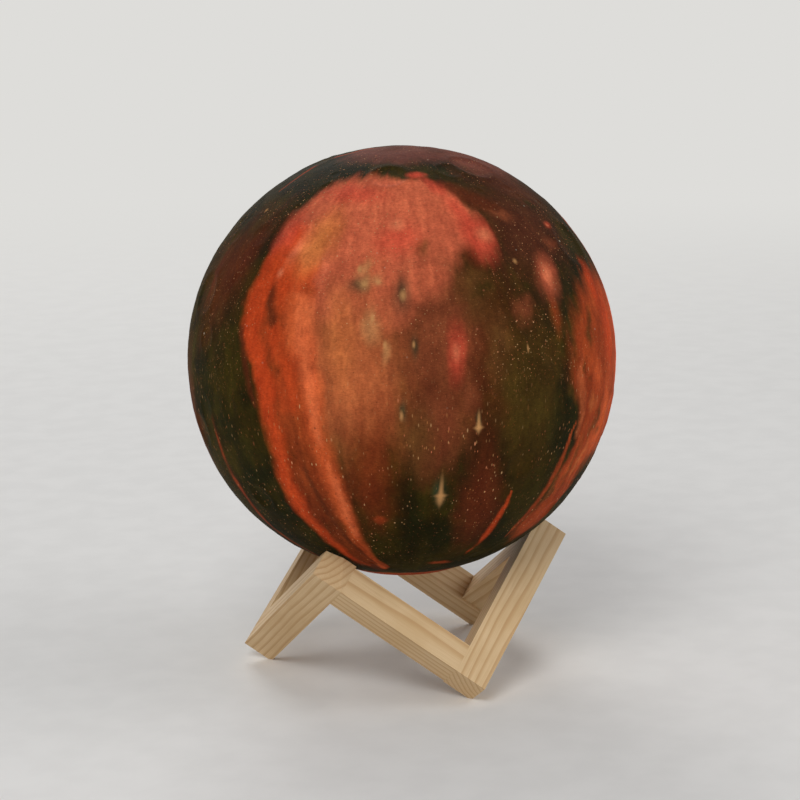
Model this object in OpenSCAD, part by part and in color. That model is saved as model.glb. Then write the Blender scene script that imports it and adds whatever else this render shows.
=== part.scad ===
// Table lamp: a printed globe shade that rests in a zigzag ring of six wooden rails.
// The origin is on the floor, on the ring's vertical axis, +Z up. Millimetres.

/* [Globe] */
// Outside diameter of the globe
globe_d = 150; // [120:1:200]
// Wall of the printed shell
shell_wall = 1.8; // [1.2:0.1:2.6]
// Depth of a crater of middling size, below the globe's outside
crater_depth = 0.75; // [0.5:0.05:0.9]

/* [Stand] */
// Length of the long rails, which is also the edge of the cube that the ring follows
rail_len = 70.4; // [60:0.2:90]
// Width of the long rails' square section
long_rail_w = 11.6; // [9:0.1:14]
// Width of the short rails' square section
short_rail_w = 10.8; // [8:0.1:13]
// Height that is sanded off the three lowest corners to make the feet
foot_cut = 0.8; // [0.4:0.1:2]
// How far the three top corners are hollowed, so that the globe beds into them
seat_sink = 1.75; // [0:0.05:3]
// Room between the globe and the three corners that carry it
seat_gap = 0.3; // [0.1:0.05:0.5]
// Diameter of the dowels in the butt joints
dowel_d = 4; // [3:0.5:5]
// Length of a dowel
dowel_len = 16; // [12:1:18]

/* [Base unit] */
// Outside diameter of the housing
housing_d = 36.4; // [34:0.2:48]
// Width of the flange that stands out round the housing's foot
flange_lip = 1.3; // [0.8:0.1:2.5]
// Thickness of that flange
flange_t = 1.8; // [1.2:0.1:3]
// Wall of the housing
housing_wall = 1.6; // [1.2:0.1:2]
// Thickness of the base cover
cover_t = 2; // [1.6:0.1:2.6]
// Height of the main board's underside above the base plane
board_z = 7.5; // [7:0.1:10]
// Thickness of both circuit boards
board_t = 1.6; // [1:0.1:2]
// Wall of the frosted dome
dome_wall = 1.4; // [1:0.1:2]

/* [Controls] */
// Diameter of the push button
button_d = 10; // [7:0.5:12]
// Travel of the push button
button_travel = 0.6; // [0.3:0.1:0.8]
// Width of the charging socket's shell
socket_w = 7.6; // [6:0.1:9.2]
// Depth of the charging socket's shell
socket_d = 2.8; // [2.2:0.1:3.4]

/* [Battery] */
// Thickness of the battery pouch
battery_t = 5; // [3:0.5:7]
// Width of the battery pouch
battery_w = 20; // [14:1:24]
// Height of the battery pouch
battery_h = 25; // [18:1:40]

/* [Hidden] */
$fn = 96;
eps = 0.01;

// ---- ring of rails: everything below is set in the frame of a cube that stands on one corner
tilt = acos(1 / sqrt(3));
floor_h = (rail_len - long_rail_w) / sqrt(3) + foot_cut;
dowel_in_long = 7.2;
dowel_in_short = dowel_len - dowel_in_long;
glue_room = 0.4;
dowel_gap = 0.05;
joint_x = rail_len - short_rail_w / 2;
joint_y = short_rail_w / 2;

// ---- globe: the height at which it meets the three corners (a, a, w) of the cube frame, less
// what it sinks into them
globe_r = globe_d / 2;
seat_r = globe_r + seat_gap;
// Craters: degrees round from the front, degrees up from the equator, half width, depth share
craters = [
    [-20, 30, 8, 1.05], [15, 10, 6.5, 0.95], [42, 36, 9, 1.2], [-50, 5, 5, 0.8],
    [-64, 42, 7, 1], [5, -18, 5.5, 0.8], [48, -12, 7.5, 1.05], [-98, -14, 6.5, 0.95],
    [-100, 22, 8, 1.05], [70, 15, 5.5, 0.8], [84, -25, 7, 1], [102, 32, 9, 1.2],
    [120, -5, 6, 0.85], [142, 50, 7.5, 1.05], [150, 12, 8.5, 1.15], [165, -25, 5.5, 0.8],
    [-170, 32, 6.5, 0.95], [-150, -8, 9, 1.2], [-135, 40, 6, 0.85], [-125, -28, 5.5, 0.8],
    [-75, -30, 5, 0.8], [-35, 66, 6.5, 0.95], [32, 68, 8, 1.05], [110, 70, 6, 0.85],
    [-120, 68, 7, 1], [-30, -36, 5, 0.8], [28, -38, 4.5, 0.75]
];
seat_b = 4 * rail_len + 2 * long_rail_w;
seat_c = 2 * pow(rail_len, 2) + pow(long_rail_w, 2) - pow(seat_r, 2);
seat_h = (seat_b + sqrt(pow(seat_b, 2) - 12 * seat_c)) / 6;
globe_z = seat_h * sqrt(3) - floor_h - seat_sink;

// ---- opening under the globe
fit_gap = 0.2;
neck_wall = 1.5;
neck_h = 8;
rim_wall = 1.3;
neck_r = housing_d / 2 + fit_gap;
flange_r = housing_d / 2 + flange_lip;
rebate_r = flange_r + fit_gap;
rim_r = rebate_r + rim_wall;
rim_drop = sqrt(pow(globe_r, 2) - pow(rim_r, 2));
base_z = globe_z - rim_drop;

// ---- housing and what stands in it, all measured up from the base plane
housing_r = housing_d / 2;
bore_r = housing_r - housing_wall;
top_t = 2;
cover_r = bore_r - 0.15;
boss_r = 2.4;
boss_top = board_z - 0.4;
cover_screw_r = bore_r - boss_r - 0.2;
cover_screw_angles = [30, 150, 270];
head_well = 0.9;
screw_d = 2;
pilot_gap = 0.02;
shank_gap = 0.1;

// ---- main board and what it carries
board_r = bore_r - 0.8;
board_top = board_z + board_t;
board_screw = [bore_r - 5.1, 0.5];
board_post_r = 2;
chip_at = [-5.4, -1];
plug_at = [-4, 5.5];
plug_h = 5;
socket_y = bore_r - 5.6;
socket_wall = 0.3;
socket_mouth_z = 0.5;
light_angle = 225;
light_at = bore_r - 6;
light_r = 1.25;
led_chip_h = 1.1;

// ---- battery, taped to the housing's partition; it sets the housing's height
partition_t = 1.4;
partition_x = -1.2;
pad_t = 1;
battery_x = partition_x + partition_t + pad_t;
battery_z = board_top + 2.5;
battery_top = battery_z + battery_h;
battery_tab_h = 1.2;
tab_top = battery_top + battery_tab_h;
partition_top = battery_top - 2.6;
lead_room = 2.2;
housing_h = tab_top + lead_room + top_t;

// ---- LED board in the spigot's well, under the frosted dome
spigot_h = 5;
spigot_gap = 0.1;
spigot_wall = 1.5;
spigot_r = housing_r - dome_wall - spigot_gap;
well_r = spigot_r - spigot_wall;
dome_z = housing_h + spigot_h - 1;
led_board_r = well_r - 0.3;
led_top = housing_h + board_t;
led_size = [5, 5, 1.6];
led_ring_r = led_board_r - 5.3;
led_count = 6;
led_screw_angles = [0, 180];
led_boss_h = 3;
wire_hole = [0, -5.2];
wire_hole_r = 2.2;

// ---- button and switch
button_r = button_d / 2;
button_gap = 0.15;
button_recess = 0.4;
button_lip = 1.1;
lip_t = 0.8;
play = 0.05;
button_top = cover_t + play + lip_t;
dish_r = 30;
dish_depth = 0.3;
switch_size = [6, 6, 3.4];
switch_z = board_z - switch_size[2];
switch_foot = [0.7, 1.2, 0.25];
switch_foot_x = 2.25;
plunger_r = 1.7;
plunger_top = switch_z + 1.3;

// ---- leads: points along each route, from the base plane up
battery_lead_d = 1.2;
battery_lead_pitch = 2;
led_lead_d = 0.75;
led_lead_pitch = 1.1;
lead_sides = 8;
battery_lead_route = [[-4, 5.5, board_top + plug_h], [-4, 6.2, board_top + plug_h + 3],
    [-4.2, 7.6, board_top + 13], [-4, 8.2, battery_top - 8.6], [-3.4, 8.2, battery_top - 3.6],
    [-1.8, 7.6, battery_top], [0.6, 6.8, tab_top + 0.8], [2.6, 6.1, tab_top + 1.2],
    [3.7, 5.8, tab_top + 0.8], [3.7, 5.8, tab_top]];
led_lead_route = [[-8, -6, board_top], [-8, -6, board_top + 3], [-8.2, -6.6, board_top + 9],
    [-7.6, -7.2, housing_h - 17], [-6, -7, housing_h - 11], [-3.2, -6.2, housing_h - 6.6],
    [-0.9, -5.4, housing_h - 3.8], [0, -5.2, housing_h - 2], [0, -5.2, led_top],
    [0, -4.8, led_top + 1.4], [0, -3.5, led_top + 2.1], [0, -1.9, led_top + 1.3],
    [0, -1.9, led_top]];

// ---------------------------------------------------------------- helpers

// Turns the cube frame so that its long diagonal stands on the ring's axis
module ring_frame(turn) {
    rotate([0, 0, turn])
        translate([0, 0, -floor_h])
            rotate([0, 0, -30])
                rotate([0, -tilt, 0])
                    rotate([0, 0, -45])
                        children();
}

// Keeps what is above the floor, which leaves a flat foot on a low corner
module above_floor() {
    difference() {
        children();
        translate([-globe_d, -globe_d, -globe_d])
            cube([2 * globe_d, 2 * globe_d, globe_d]);
    }
}

// Cylinder between two heights
module rod(r, z0, z1) {
    translate([0, 0, z0])
        cylinder(r = r, h = z1 - z0);
}

// Box centred in x and y, between two heights
module block(size, z0, z1) {
    translate([-size[0] / 2, -size[1] / 2, z0])
        cube([size[0], size[1], z1 - z0]);
}

// Copies its children to each angle, at a radius from the axis
module around(angles, r) {
    for (a = angles)
        rotate([0, 0, a])
            translate([r, 0, 0])
                children();
}

// Moves its children up to the base plane under the globe
module at_base() {
    translate([0, 0, base_z])
        children();
}

// Pan-head screw that points up, with its head's underside at z = 0 and a cross-shaped recess
module screw(head_r, head_h, length) {
    difference() {
        union() {
            rod(head_r, -head_h, 0);
            rod(screw_d / 2, 0, length);
        }
        for (turn = [0, 90])
            rotate([0, 0, turn])
                block([head_r * 1.3, 0.5], -head_h - eps, -head_h / 2);
    }
}

// Copies its children to both of the main board's screws
module both_board_screws() {
    for (side = [-1, 1])
        translate([side * board_screw[0], board_screw[1], 0])
            children();
}

// Unit vector, and the direction of a route at one of its points
function unit(v) = v / norm(v);
function heading(p, i) = unit(p[min(i + 1, len(p) - 1)] - p[max(i - 1, 0)]);

// Round lead swept along a route that never runs along the axis named flat
module lead(route, d, flat) {
    n = lead_sides;
    last = len(route) - 1;
    rings = [for (i = [0:last]) let (t = heading(route, i), u = unit(cross(t, flat)), v = cross(t, u))
        for (k = [0:n - 1]) route[i] + d / 2 * (cos(360 * k / n) * u + sin(360 * k / n) * v)];
    skin = [for (i = [0:last - 1]) for (k = [0:n - 1]) let (m = (k + 1) % n, j = i * n)
        each [[j + k, j + n + k, j + n + m], [j + k, j + n + m, j + m]]];
    ends = [[for (k = [0:n - 1]) k], [for (k = [0:n - 1]) last * n + n - 1 - k]];
    polyhedron(points = rings, faces = concat(skin, ends), convexity = 4);
}

// ---------------------------------------------------------------- stand

// Rail that runs through at both of its corners, with a blind hole for each dowel, a foot at its
// low end and a hollow for the globe at its high end
module long_rail(turn) {
    hole_r = dowel_d / 2 + dowel_gap;
    depth = dowel_in_long + glue_room;
    difference() {
        above_floor()
            ring_frame(turn)
                difference() {
                    translate([rail_len - long_rail_w, 0, 0])
                        cube([long_rail_w, rail_len, long_rail_w]);
                    translate([joint_x, joint_y, long_rail_w - depth])
                        cylinder(r = hole_r, h = depth + eps);
                    translate([rail_len - long_rail_w - eps, joint_x, joint_y])
                        rotate([0, 90, 0])
                            cylinder(r = hole_r, h = depth + eps);
                }
        translate([0, 0, globe_z])
            sphere(r = seat_r);
    }
}

// Rail that is butted between two long ones, with a blind hole in each end
module short_rail(turn) {
    hole_r = dowel_d / 2 + dowel_gap;
    depth = dowel_in_short + glue_room;
    low = long_rail_w;
    high = rail_len - long_rail_w;
    ring_frame(turn)
        difference() {
            translate([rail_len - short_rail_w, 0, low])
                cube([short_rail_w, short_rail_w, high - low]);
            translate([joint_x, joint_y, 0]) {
                rod(hole_r, low - eps, low + depth);
                rod(hole_r, high - depth, high + eps);
            }
        }
}

// Six dowels, one at each end of each short rail
module joint_dowels() {
    color("burlywood")
        for (turn = [0, 120, 240])
            ring_frame(turn)
                translate([joint_x, joint_y, 0]) {
                    rod(dowel_d / 2, long_rail_w - dowel_in_long, long_rail_w + dowel_in_short);
                    rod(dowel_d / 2, rail_len - long_rail_w - dowel_in_short,
                        rail_len - long_rail_w + dowel_in_long);
                }
}

module long_rail_right() { color([0.86, 0.70, 0.50]) long_rail(0); }
module long_rail_back() { color([0.86, 0.70, 0.50]) long_rail(120); }
module long_rail_left() { color([0.86, 0.70, 0.50]) long_rail(240); }
module short_rail_front() { color([0.88, 0.73, 0.54]) short_rail(0); }
module short_rail_right() { color([0.88, 0.73, 0.54]) short_rail(120); }
module short_rail_back() { color([0.88, 0.73, 0.54]) short_rail(240); }

// ---------------------------------------------------------------- globe

// Ball whose edge dips into the globe, to cut one shallow crater
module crater(turn, rise, half_w, share) {
    depth = share * crater_depth;
    ball_r = pow(half_w, 2) * globe_r / (2 * depth * globe_r - pow(half_w, 2));
    rotate([0, 0, turn - 90])
        rotate([0, 90 - rise, 0])
            translate([0, 0, globe_r + ball_r - depth])
                sphere(r = ball_r);
}

// Printed shell with a flat rim underneath, a stepped opening and a neck that holds the housing
module globe_shade() {
    color([0.85, 0.42, 0.26])
        translate([0, 0, globe_z])
            difference() {
                union() {
                    difference() {
                        sphere(r = globe_r);
                        sphere(r = globe_r - shell_wall);
                    }
                    intersection() {
                        rod(neck_r + neck_wall, -globe_r, neck_h - rim_drop);
                        sphere(r = globe_r);
                    }
                    intersection() {
                        rod(rim_r, -globe_r, flange_t + neck_wall - rim_drop);
                        sphere(r = globe_r);
                    }
                }
                rod(globe_r, -2 * globe_r, -rim_drop);
                rod(rebate_r, -globe_r, flange_t - rim_drop);
                rod(neck_r, -globe_r, neck_h - rim_drop + eps);
                for (c = craters)
                    crater(c[0], c[1], c[2], c[3]);
            }
}

// Cup that carries everything electric: flange, wall, closed top, spigot for the dome, partition
// for the battery and the bosses for the cover's screws
module base_housing() {
    color("whitesmoke")
        at_base()
            difference() {
                union() {
                    difference() {
                        union() {
                            rod(flange_r, 0, flange_t);
                            rod(housing_r, 0, housing_h);
                            rod(spigot_r, 0, housing_h + spigot_h);
                        }
                        rod(bore_r, -eps, housing_h - top_t);
                        rod(well_r, housing_h, housing_h + spigot_h + eps);
                    }
                    intersection() {
                        translate([partition_x, -bore_r, battery_z])
                            cube([partition_t, 2 * bore_r, partition_top - battery_z]);
                        rod(bore_r + eps, 0, housing_h);
                    }
                    intersection() {
                        around(cover_screw_angles, cover_screw_r)
                            union() {
                                rod(boss_r, cover_t, boss_top);
                                translate([0, -boss_r, cover_t])
                                    cube([boss_r + 1, 2 * boss_r, boss_top - cover_t]);
                            }
                        rod(bore_r + eps, 0, housing_h);
                    }
                    around(led_screw_angles, led_ring_r)
                        rod(boss_r, housing_h - top_t - led_boss_h, housing_h - top_t + eps);
                }
                around(cover_screw_angles, cover_screw_r)
                    rod(screw_d / 2 + pilot_gap, cover_t - eps, boss_top + eps);
                around(led_screw_angles, led_ring_r)
                    rod(screw_d / 2 + pilot_gap, housing_h - top_t - led_boss_h - eps, housing_h + eps);
                translate([wire_hole[0], wire_hole[1], 0])
                    rod(wire_hole_r, housing_h - top_t - eps, housing_h + eps);
            }
}

// Plate that closes the housing, with the button's hole, the socket's slot, the light pipe's hole,
// countersunk screw holes and two bosses that carry the main board
module base_cover() {
    color("white")
        at_base()
            difference() {
                union() {
                    rod(cover_r, 0, cover_t);
                    both_board_screws()
                        rod(board_post_r, cover_t - eps, board_z);
                    rod(button_r + button_lip + 1.4, cover_t - eps, cover_t + 0.6);
                    around([light_angle], light_at)
                        rod(light_r + 1, cover_t - eps, cover_t + 1.2);
                }
                rod(button_r + button_gap, -eps, cover_t + 1);
                rod(button_r + button_lip + button_gap, cover_t, cover_t + 1);
                translate([0, socket_y, 0])
                    socket_outline(0.3, -eps, cover_t + eps);
                around([light_angle], light_at)
                    rod(light_r + play, -eps, cover_t + 2);
                around(cover_screw_angles, cover_screw_r) {
                    rod(screw_d / 2 + shank_gap, -eps, cover_t + eps);
                    rod(1.95, -eps, head_well);
                }
                both_board_screws()
                    rod(screw_d / 2 + pilot_gap, cover_t, board_z + eps);
            }
}

module cover_screws() {
    color("silver")
        at_base()
            around(cover_screw_angles, cover_screw_r)
                translate([0, 0, head_well])
                    screw(1.8, 0.7, boss_top - head_well - 0.5);
}

// ---------------------------------------------------------------- button and switch

// Cap with a lip inside the cover and a dished face
module push_button() {
    color("white")
        at_base()
            difference() {
                union() {
                    rod(button_r, button_recess, button_top);
                    rod(button_r + button_lip, cover_t + play, button_top);
                }
                translate([0, 0, button_recess + dish_depth - dish_r])
                    sphere(r = dish_r);
            }
}

module switch_plunger() {
    color("dimgray")
        at_base()
            rod(plunger_r, button_top, plunger_top);
}

// Square surface-mount switch: a body with the plunger's well, on four flat feet under the board
module tact_switch() {
    color([0.2, 0.2, 0.22])
        at_base() {
            difference() {
                block(switch_size, switch_z, board_z);
                rod(plunger_r + play, switch_z - eps, plunger_top + button_travel + 0.2);
            }
            for (x = [-1, 1], y = [-1, 1])
                translate([x * switch_foot_x, y * (switch_size[1] / 2 + 0.5), 0])
                    block(switch_foot, board_z - switch_foot[2], board_z);
        }
}

// ---------------------------------------------------------------- main board

// Round board with a notch at each cover boss and the two screw holes
module main_board() {
    color("seagreen")
        at_base()
            difference() {
                rod(board_r, board_z, board_top);
                around(cover_screw_angles, cover_screw_r + 1)
                    rod(boss_r + 1.2, board_z - eps, board_top + eps);
                both_board_screws()
                    rod(screw_d / 2 + shank_gap, board_z - eps, board_top + eps);
            }
}

module main_board_screws() {
    color("silver")
        at_base()
            both_board_screws()
                translate([0, 0, board_top])
                    rotate([180, 0, 0])
                        screw(1.9, 1.2, board_z + board_t - cover_t - 1.5);
}

module control_chip() {
    color([0.12, 0.12, 0.13])
        at_base()
            translate([chip_at[0], chip_at[1], 0]) {
                block([3.9, 4.9], board_top + 0.2, board_top + 1.6);
                for (side = [-1, 1])
                    for (k = [-1.5:1:1.5])
                        translate([side * 2.4, k * 1.27, 0])
                            block([0.96, 0.42], board_top, board_top + 0.8);
            }
}

// Outline of the charging socket with its two bevelled corners, grown by a gap
module socket_outline(gap, z0, z1) {
    w = socket_w / 2 + gap;
    d = socket_d / 2 + gap;
    bevel = 0.9;
    translate([0, 0, z0])
        linear_extrude(height = z1 - z0)
            polygon([[-w, -d], [w, -d], [w, d - bevel], [w - bevel, d], [bevel - w, d], [-w, d - bevel]]);
}

// Upright socket: a metal shell round a contact tongue
module charging_socket() {
    roof_z = board_z - 1.2;
    color("silver")
        at_base()
            translate([0, socket_y, 0]) {
                difference() {
                    socket_outline(0, socket_mouth_z, board_z);
                    socket_outline(-socket_wall, socket_mouth_z - eps, roof_z);
                }
                block([socket_w / 2, 0.6], socket_mouth_z + 0.6, roof_z + eps);
            }
}

module status_led() {
    color("lightyellow")
        at_base()
            around([light_angle], light_at)
                block([3, 1.5], board_z - led_chip_h, board_z);
}

// Clear rod with a collar that stops it in the cover
module light_pipe() {
    color("lightcyan")
        at_base()
            around([light_angle], light_at) {
                rod(light_r, 0.2, board_z - led_chip_h - 0.4);
                rod(light_r + 0.7, cover_t + 1.2, cover_t + 2);
            }
}

// ---------------------------------------------------------------- battery

// Pouch cell with rounded long edges and a taped end
module battery() {
    r = battery_t / 2;
    half = battery_w / 2 - r;
    color("lightsteelblue")
        at_base()
            translate([battery_x + r, 0, 0]) {
                for (side = [-1, 1])
                    translate([0, side * half, 0])
                        rod(r, battery_z, battery_top);
                block([battery_t, 2 * half], battery_z, battery_top);
                block([3, battery_w * 0.7], battery_top - eps, tab_top);
            }
}

module battery_pad() {
    color("dimgray")
        at_base()
            translate([battery_x - pad_t, -battery_w * 0.3, battery_z + 3])
                cube([pad_t, battery_w * 0.6, partition_top - battery_z - 4]);
}

// Two-way plug housing on the main board
module battery_connector() {
    color("ivory")
        at_base()
            translate([plug_at[0], plug_at[1], 0])
                difference() {
                    block([4.5, 5.8], board_top, board_top + plug_h);
                    for (side = [-1, 1])
                        translate([0, side * battery_lead_pitch / 2, 0])
                            rod(battery_lead_d / 2 + play, board_top + plug_h - 1, board_top + plug_h + eps);
                    translate([2.25, 0, 0])
                        block([1, 1.6], board_top + 2, board_top + plug_h + eps);
                }
}

// Two leads from the plug to the battery's taped end
module battery_leads() {
    color("crimson")
        at_base()
            for (side = [-1, 1])
                translate([0, side * battery_lead_pitch / 2, 0])
                    lead(battery_lead_route, battery_lead_d, [0, 1, 0]);
}

// ---------------------------------------------------------------- light

// Round metal-backed board on the housing's top
module led_board() {
    color("white")
        at_base()
            difference() {
                rod(led_board_r, housing_h, led_top);
                around(led_screw_angles, led_ring_r)
                    rod(screw_d / 2 + shank_gap, housing_h - eps, led_top + eps);
                translate([wire_hole[0], wire_hole[1], 0])
                    rod(wire_hole_r, housing_h - eps, led_top + eps);
            }
}

// Square LEDs with a round lens well, in a ring
module leds() {
    color("lightyellow")
        at_base()
            around([for (k = [0:led_count - 1]) 30 + 360 * k / led_count], led_ring_r)
                difference() {
                    block(led_size, led_top, led_top + led_size[2]);
                    rod(1.9, led_top + led_size[2] - 0.4, led_top + led_size[2] + eps);
                }
}

module led_board_screws() {
    color("silver")
        at_base()
            around(led_screw_angles, led_ring_r)
                translate([0, 0, led_top])
                    rotate([180, 0, 0])
                        screw(1.8, 1, board_t + top_t + led_boss_h - 0.5);
}

// Receiver for a remote control: a small block with a round lens, on three legs
module infrared_receiver() {
    color([0.15, 0.1, 0.12])
        at_base()
            translate([0, 2.6, 0]) {
                block([5.4, 3], led_top + 1, led_top + 6);
                translate([0, 1.5, led_top + 3.8])
                    intersection() {
                        sphere(r = 1.6);
                        translate([-2, 0, -2])
                            cube([4, 4, 4]);
                    }
                for (k = [-1:1])
                    translate([k * 1.6, 0, 0])
                        block([0.5, 0.5], led_top, led_top + 1);
            }
}

// Four leads from the main board, up through the housing's top to the LED board
module led_leads() {
    color("firebrick")
        at_base()
            for (k = [-1.5:1:1.5])
                translate([k * led_lead_pitch, 0, 0])
                    lead(led_lead_route, led_lead_d, [1, 0, 0]);
}

// Outline of the frosted cap at a radius: straight sides under a quarter circle
module cap_outline(r, low) {
    translate([0, low])
        square([r, dome_z - low]);
    translate([0, dome_z])
        intersection() {
            circle(r = r);
            square([r, r]);
        }
}

// Frosted cap: a skirt over the housing's spigot under a round top
module diffuser() {
    color([0.97, 0.97, 0.94])
        at_base()
            rotate_extrude()
                difference() {
                    cap_outline(housing_r, housing_h);
                    cap_outline(housing_r - dome_wall, housing_h - 1);
                }
}

long_rail_right();
long_rail_back();
long_rail_left();
short_rail_front();
short_rail_right();
short_rail_back();
joint_dowels();
globe_shade();
base_housing();
base_cover();
cover_screws();
push_button();
switch_plunger();
tact_switch();
main_board();
main_board_screws();
control_chip();
charging_socket();
status_led();
light_pipe();
battery();
battery_pad();
battery_connector();
battery_leads();
led_board();
leds();
led_board_screws();
infrared_receiver();
led_leads();
diffuser();
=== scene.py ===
"""Looks of the table lamp: a glowing printed globe on a zigzag ring of wooden rails.

Everything is in metres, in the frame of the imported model: +Z up, the origin on the floor.
Longitudes are degrees round the globe from -Y, counted towards +X, and latitudes run up from
its equator.
"""
import math

import bpy
import numpy as np
from mathutils import Matrix, Vector


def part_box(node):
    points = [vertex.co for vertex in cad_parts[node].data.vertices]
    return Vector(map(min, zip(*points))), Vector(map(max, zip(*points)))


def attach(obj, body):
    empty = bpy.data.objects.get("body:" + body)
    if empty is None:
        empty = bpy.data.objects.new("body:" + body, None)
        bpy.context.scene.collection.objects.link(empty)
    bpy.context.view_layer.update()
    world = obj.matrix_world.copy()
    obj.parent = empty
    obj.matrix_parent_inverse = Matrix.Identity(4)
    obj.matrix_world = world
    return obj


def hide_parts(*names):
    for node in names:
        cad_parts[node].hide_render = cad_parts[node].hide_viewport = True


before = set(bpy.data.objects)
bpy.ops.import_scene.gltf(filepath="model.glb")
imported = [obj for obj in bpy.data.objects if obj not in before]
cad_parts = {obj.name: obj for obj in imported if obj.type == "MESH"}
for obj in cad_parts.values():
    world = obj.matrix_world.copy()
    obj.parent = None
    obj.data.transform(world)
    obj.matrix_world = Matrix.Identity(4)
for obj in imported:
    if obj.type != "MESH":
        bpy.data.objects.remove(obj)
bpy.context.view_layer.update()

MM = 0.001
SEED = 7

scene = bpy.context.scene


# ---------------------------------------------------------------- sizes read from the frame

SHADE_LOW, SHADE_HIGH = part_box("globe_shade")
GLOBE_R = (SHADE_HIGH.x - SHADE_LOW.x) / 2
GLOBE_C = Vector((0, 0, SHADE_HIGH.z - GLOBE_R))
BASE_Z = SHADE_LOW.z


# ---------------------------------------------------------------- colour helpers

def srgb(r, g, b):
    """Linear colour of an 8-bit sRGB one."""
    def linear(v):
        v = v / 255
        return v / 12.92 if v <= 0.04045 else ((v + 0.055) / 1.055) ** 2.4
    return (linear(r), linear(g), linear(b), 1.0)


class Graph:
    """Short names for building a material's nodes."""

    def __init__(self, name):
        self.mat = bpy.data.materials.new(name)
        self.mat.use_nodes = True
        self.tree = self.mat.node_tree
        self.tree.nodes.clear()
        self.out = self.node("ShaderNodeOutputMaterial")
        self.bsdf = self.node("ShaderNodeBsdfPrincipled")
        self.join(self.bsdf.outputs["BSDF"], self.out.inputs["Surface"])

    def node(self, kind, **settings):
        n = self.tree.nodes.new(kind)
        for key, value in settings.items():
            setattr(n, key, value)
        return n

    def join(self, a, b):
        self.tree.links.new(a, b)

    def feed(self, socket, value):
        """Links a socket, or sets a plain value on it."""
        if isinstance(value, bpy.types.NodeSocket):
            self.join(value, socket)
        else:
            socket.default_value = value

    def maths(self, operation, a, b=None, c=None):
        n = self.node("ShaderNodeMath", operation=operation)
        for i, v in enumerate((a, b, c)):
            if v is not None:
                self.feed(n.inputs[i], v)
        return n.outputs[0]

    def vector(self, operation, a, b=None):
        n = self.node("ShaderNodeVectorMath", operation=operation)
        self.feed(n.inputs[0], a)
        if b is not None:
            self.feed(n.inputs[1], b)
        scalar = operation in ("DOT_PRODUCT", "LENGTH")
        return n.outputs["Value" if scalar else "Vector"]

    def scaled(self, a, factor):
        n = self.node("ShaderNodeVectorMath", operation="SCALE")
        self.feed(n.inputs[0], a)
        self.feed(n.inputs["Scale"], factor)
        return n.outputs["Vector"]

    def combine(self, x, y, z):
        n = self.node("ShaderNodeCombineXYZ")
        for i, v in enumerate((x, y, z)):
            self.feed(n.inputs[i], v)
        return n.outputs[0]

    def noise(self, vector, scale, detail=3.0, roughness=0.5):
        n = self.node("ShaderNodeTexNoise")
        self.join(vector, n.inputs["Vector"])
        n.inputs["Scale"].default_value = scale
        n.inputs["Detail"].default_value = detail
        n.inputs["Roughness"].default_value = roughness
        return n.outputs["Fac"]

    def smooth(self, value, low, high, to_low=0.0, to_high=1.0):
        """Smooth step from one value range to another."""
        n = self.node("ShaderNodeMapRange", interpolation_type="SMOOTHSTEP")
        self.feed(n.inputs["Value"], value)
        n.inputs["From Min"].default_value = low
        n.inputs["From Max"].default_value = high
        n.inputs["To Min"].default_value = to_low
        n.inputs["To Max"].default_value = to_high
        return n.outputs["Result"]

    def mix(self, factor, a, b, blend="MIX"):
        n = self.node("ShaderNodeMix", data_type="RGBA", blend_type=blend)
        self.feed(n.inputs["Factor"], factor)
        self.feed(n.inputs["A"], a)
        self.feed(n.inputs["B"], b)
        return n.outputs["Result"]

    def bump(self, height, distance, strength=1.0, normal=None):
        n = self.node("ShaderNodeBump")
        n.inputs["Strength"].default_value = strength
        n.inputs["Distance"].default_value = distance
        self.join(height, n.inputs["Height"])
        if normal is not None:
            self.join(normal, n.inputs["Normal"])
        return n.outputs["Normal"]

    def place(self):
        """Where a point is in the frame of the model."""
        return self.node("ShaderNodeTexCoord").outputs["Object"]

    def set(self, **values):
        """Sets the shader's sockets, with _ for each space in a name."""
        for name, value in values.items():
            self.feed(self.bsdf.inputs[name.replace("_", " ")], value)
        return self.mat


# ---------------------------------------------------------------- camera, lights and floor

CAMERA_AT = Vector((-0.38558, -0.72677, 0.27472))
CAMERA_FORWARD = Vector((0.45706, 0.86349, -0.21326))
CAMERA_RIGHT = Vector((0.88280, -0.46966, -0.00964))
CAMERA_LENS = 108.15
SENSOR_WIDTH = 36.0
NEAREST_SEEN = 0.01
BACKDROP = srgb(222, 221, 218)
FLOOR_TONES = srgb(226, 225, 222), srgb(230, 229, 226)
FLOOR_SIZE = 60
# how far from the lamp the floor starts to fade into the backdrop, and where it has done so
FADE = 0.35, 1.3
WORLD_LIGHT = (0.31, 0.31, 0.32, 1.0)
LIGHT_TARGET = Vector((0, 0, 0.09))
# place, diameter in metres and power in watts of each area light
LIGHTS = {
    "key": ((-0.9, -0.9, 1.3), 0.9, 13),
    "fill": ((1.1, -0.7, 0.8), 1.0, 5),
    "rim": ((0.3, 1.2, 1.0), 0.8, 6),
}


def make_camera():
    data = bpy.data.cameras.new("view")
    data.lens = CAMERA_LENS
    data.sensor_width = SENSOR_WIDTH
    data.clip_start = NEAREST_SEEN
    forward = CAMERA_FORWARD.normalized()
    right = (CAMERA_RIGHT - forward * CAMERA_RIGHT.dot(forward)).normalized()
    up = right.cross(forward)
    turn = Matrix((right, up, -forward)).transposed().to_4x4()
    camera = bpy.data.objects.new("view", data)
    camera.matrix_world = Matrix.Translation(CAMERA_AT) @ turn
    scene.collection.objects.link(camera)
    scene.camera = camera


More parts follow.
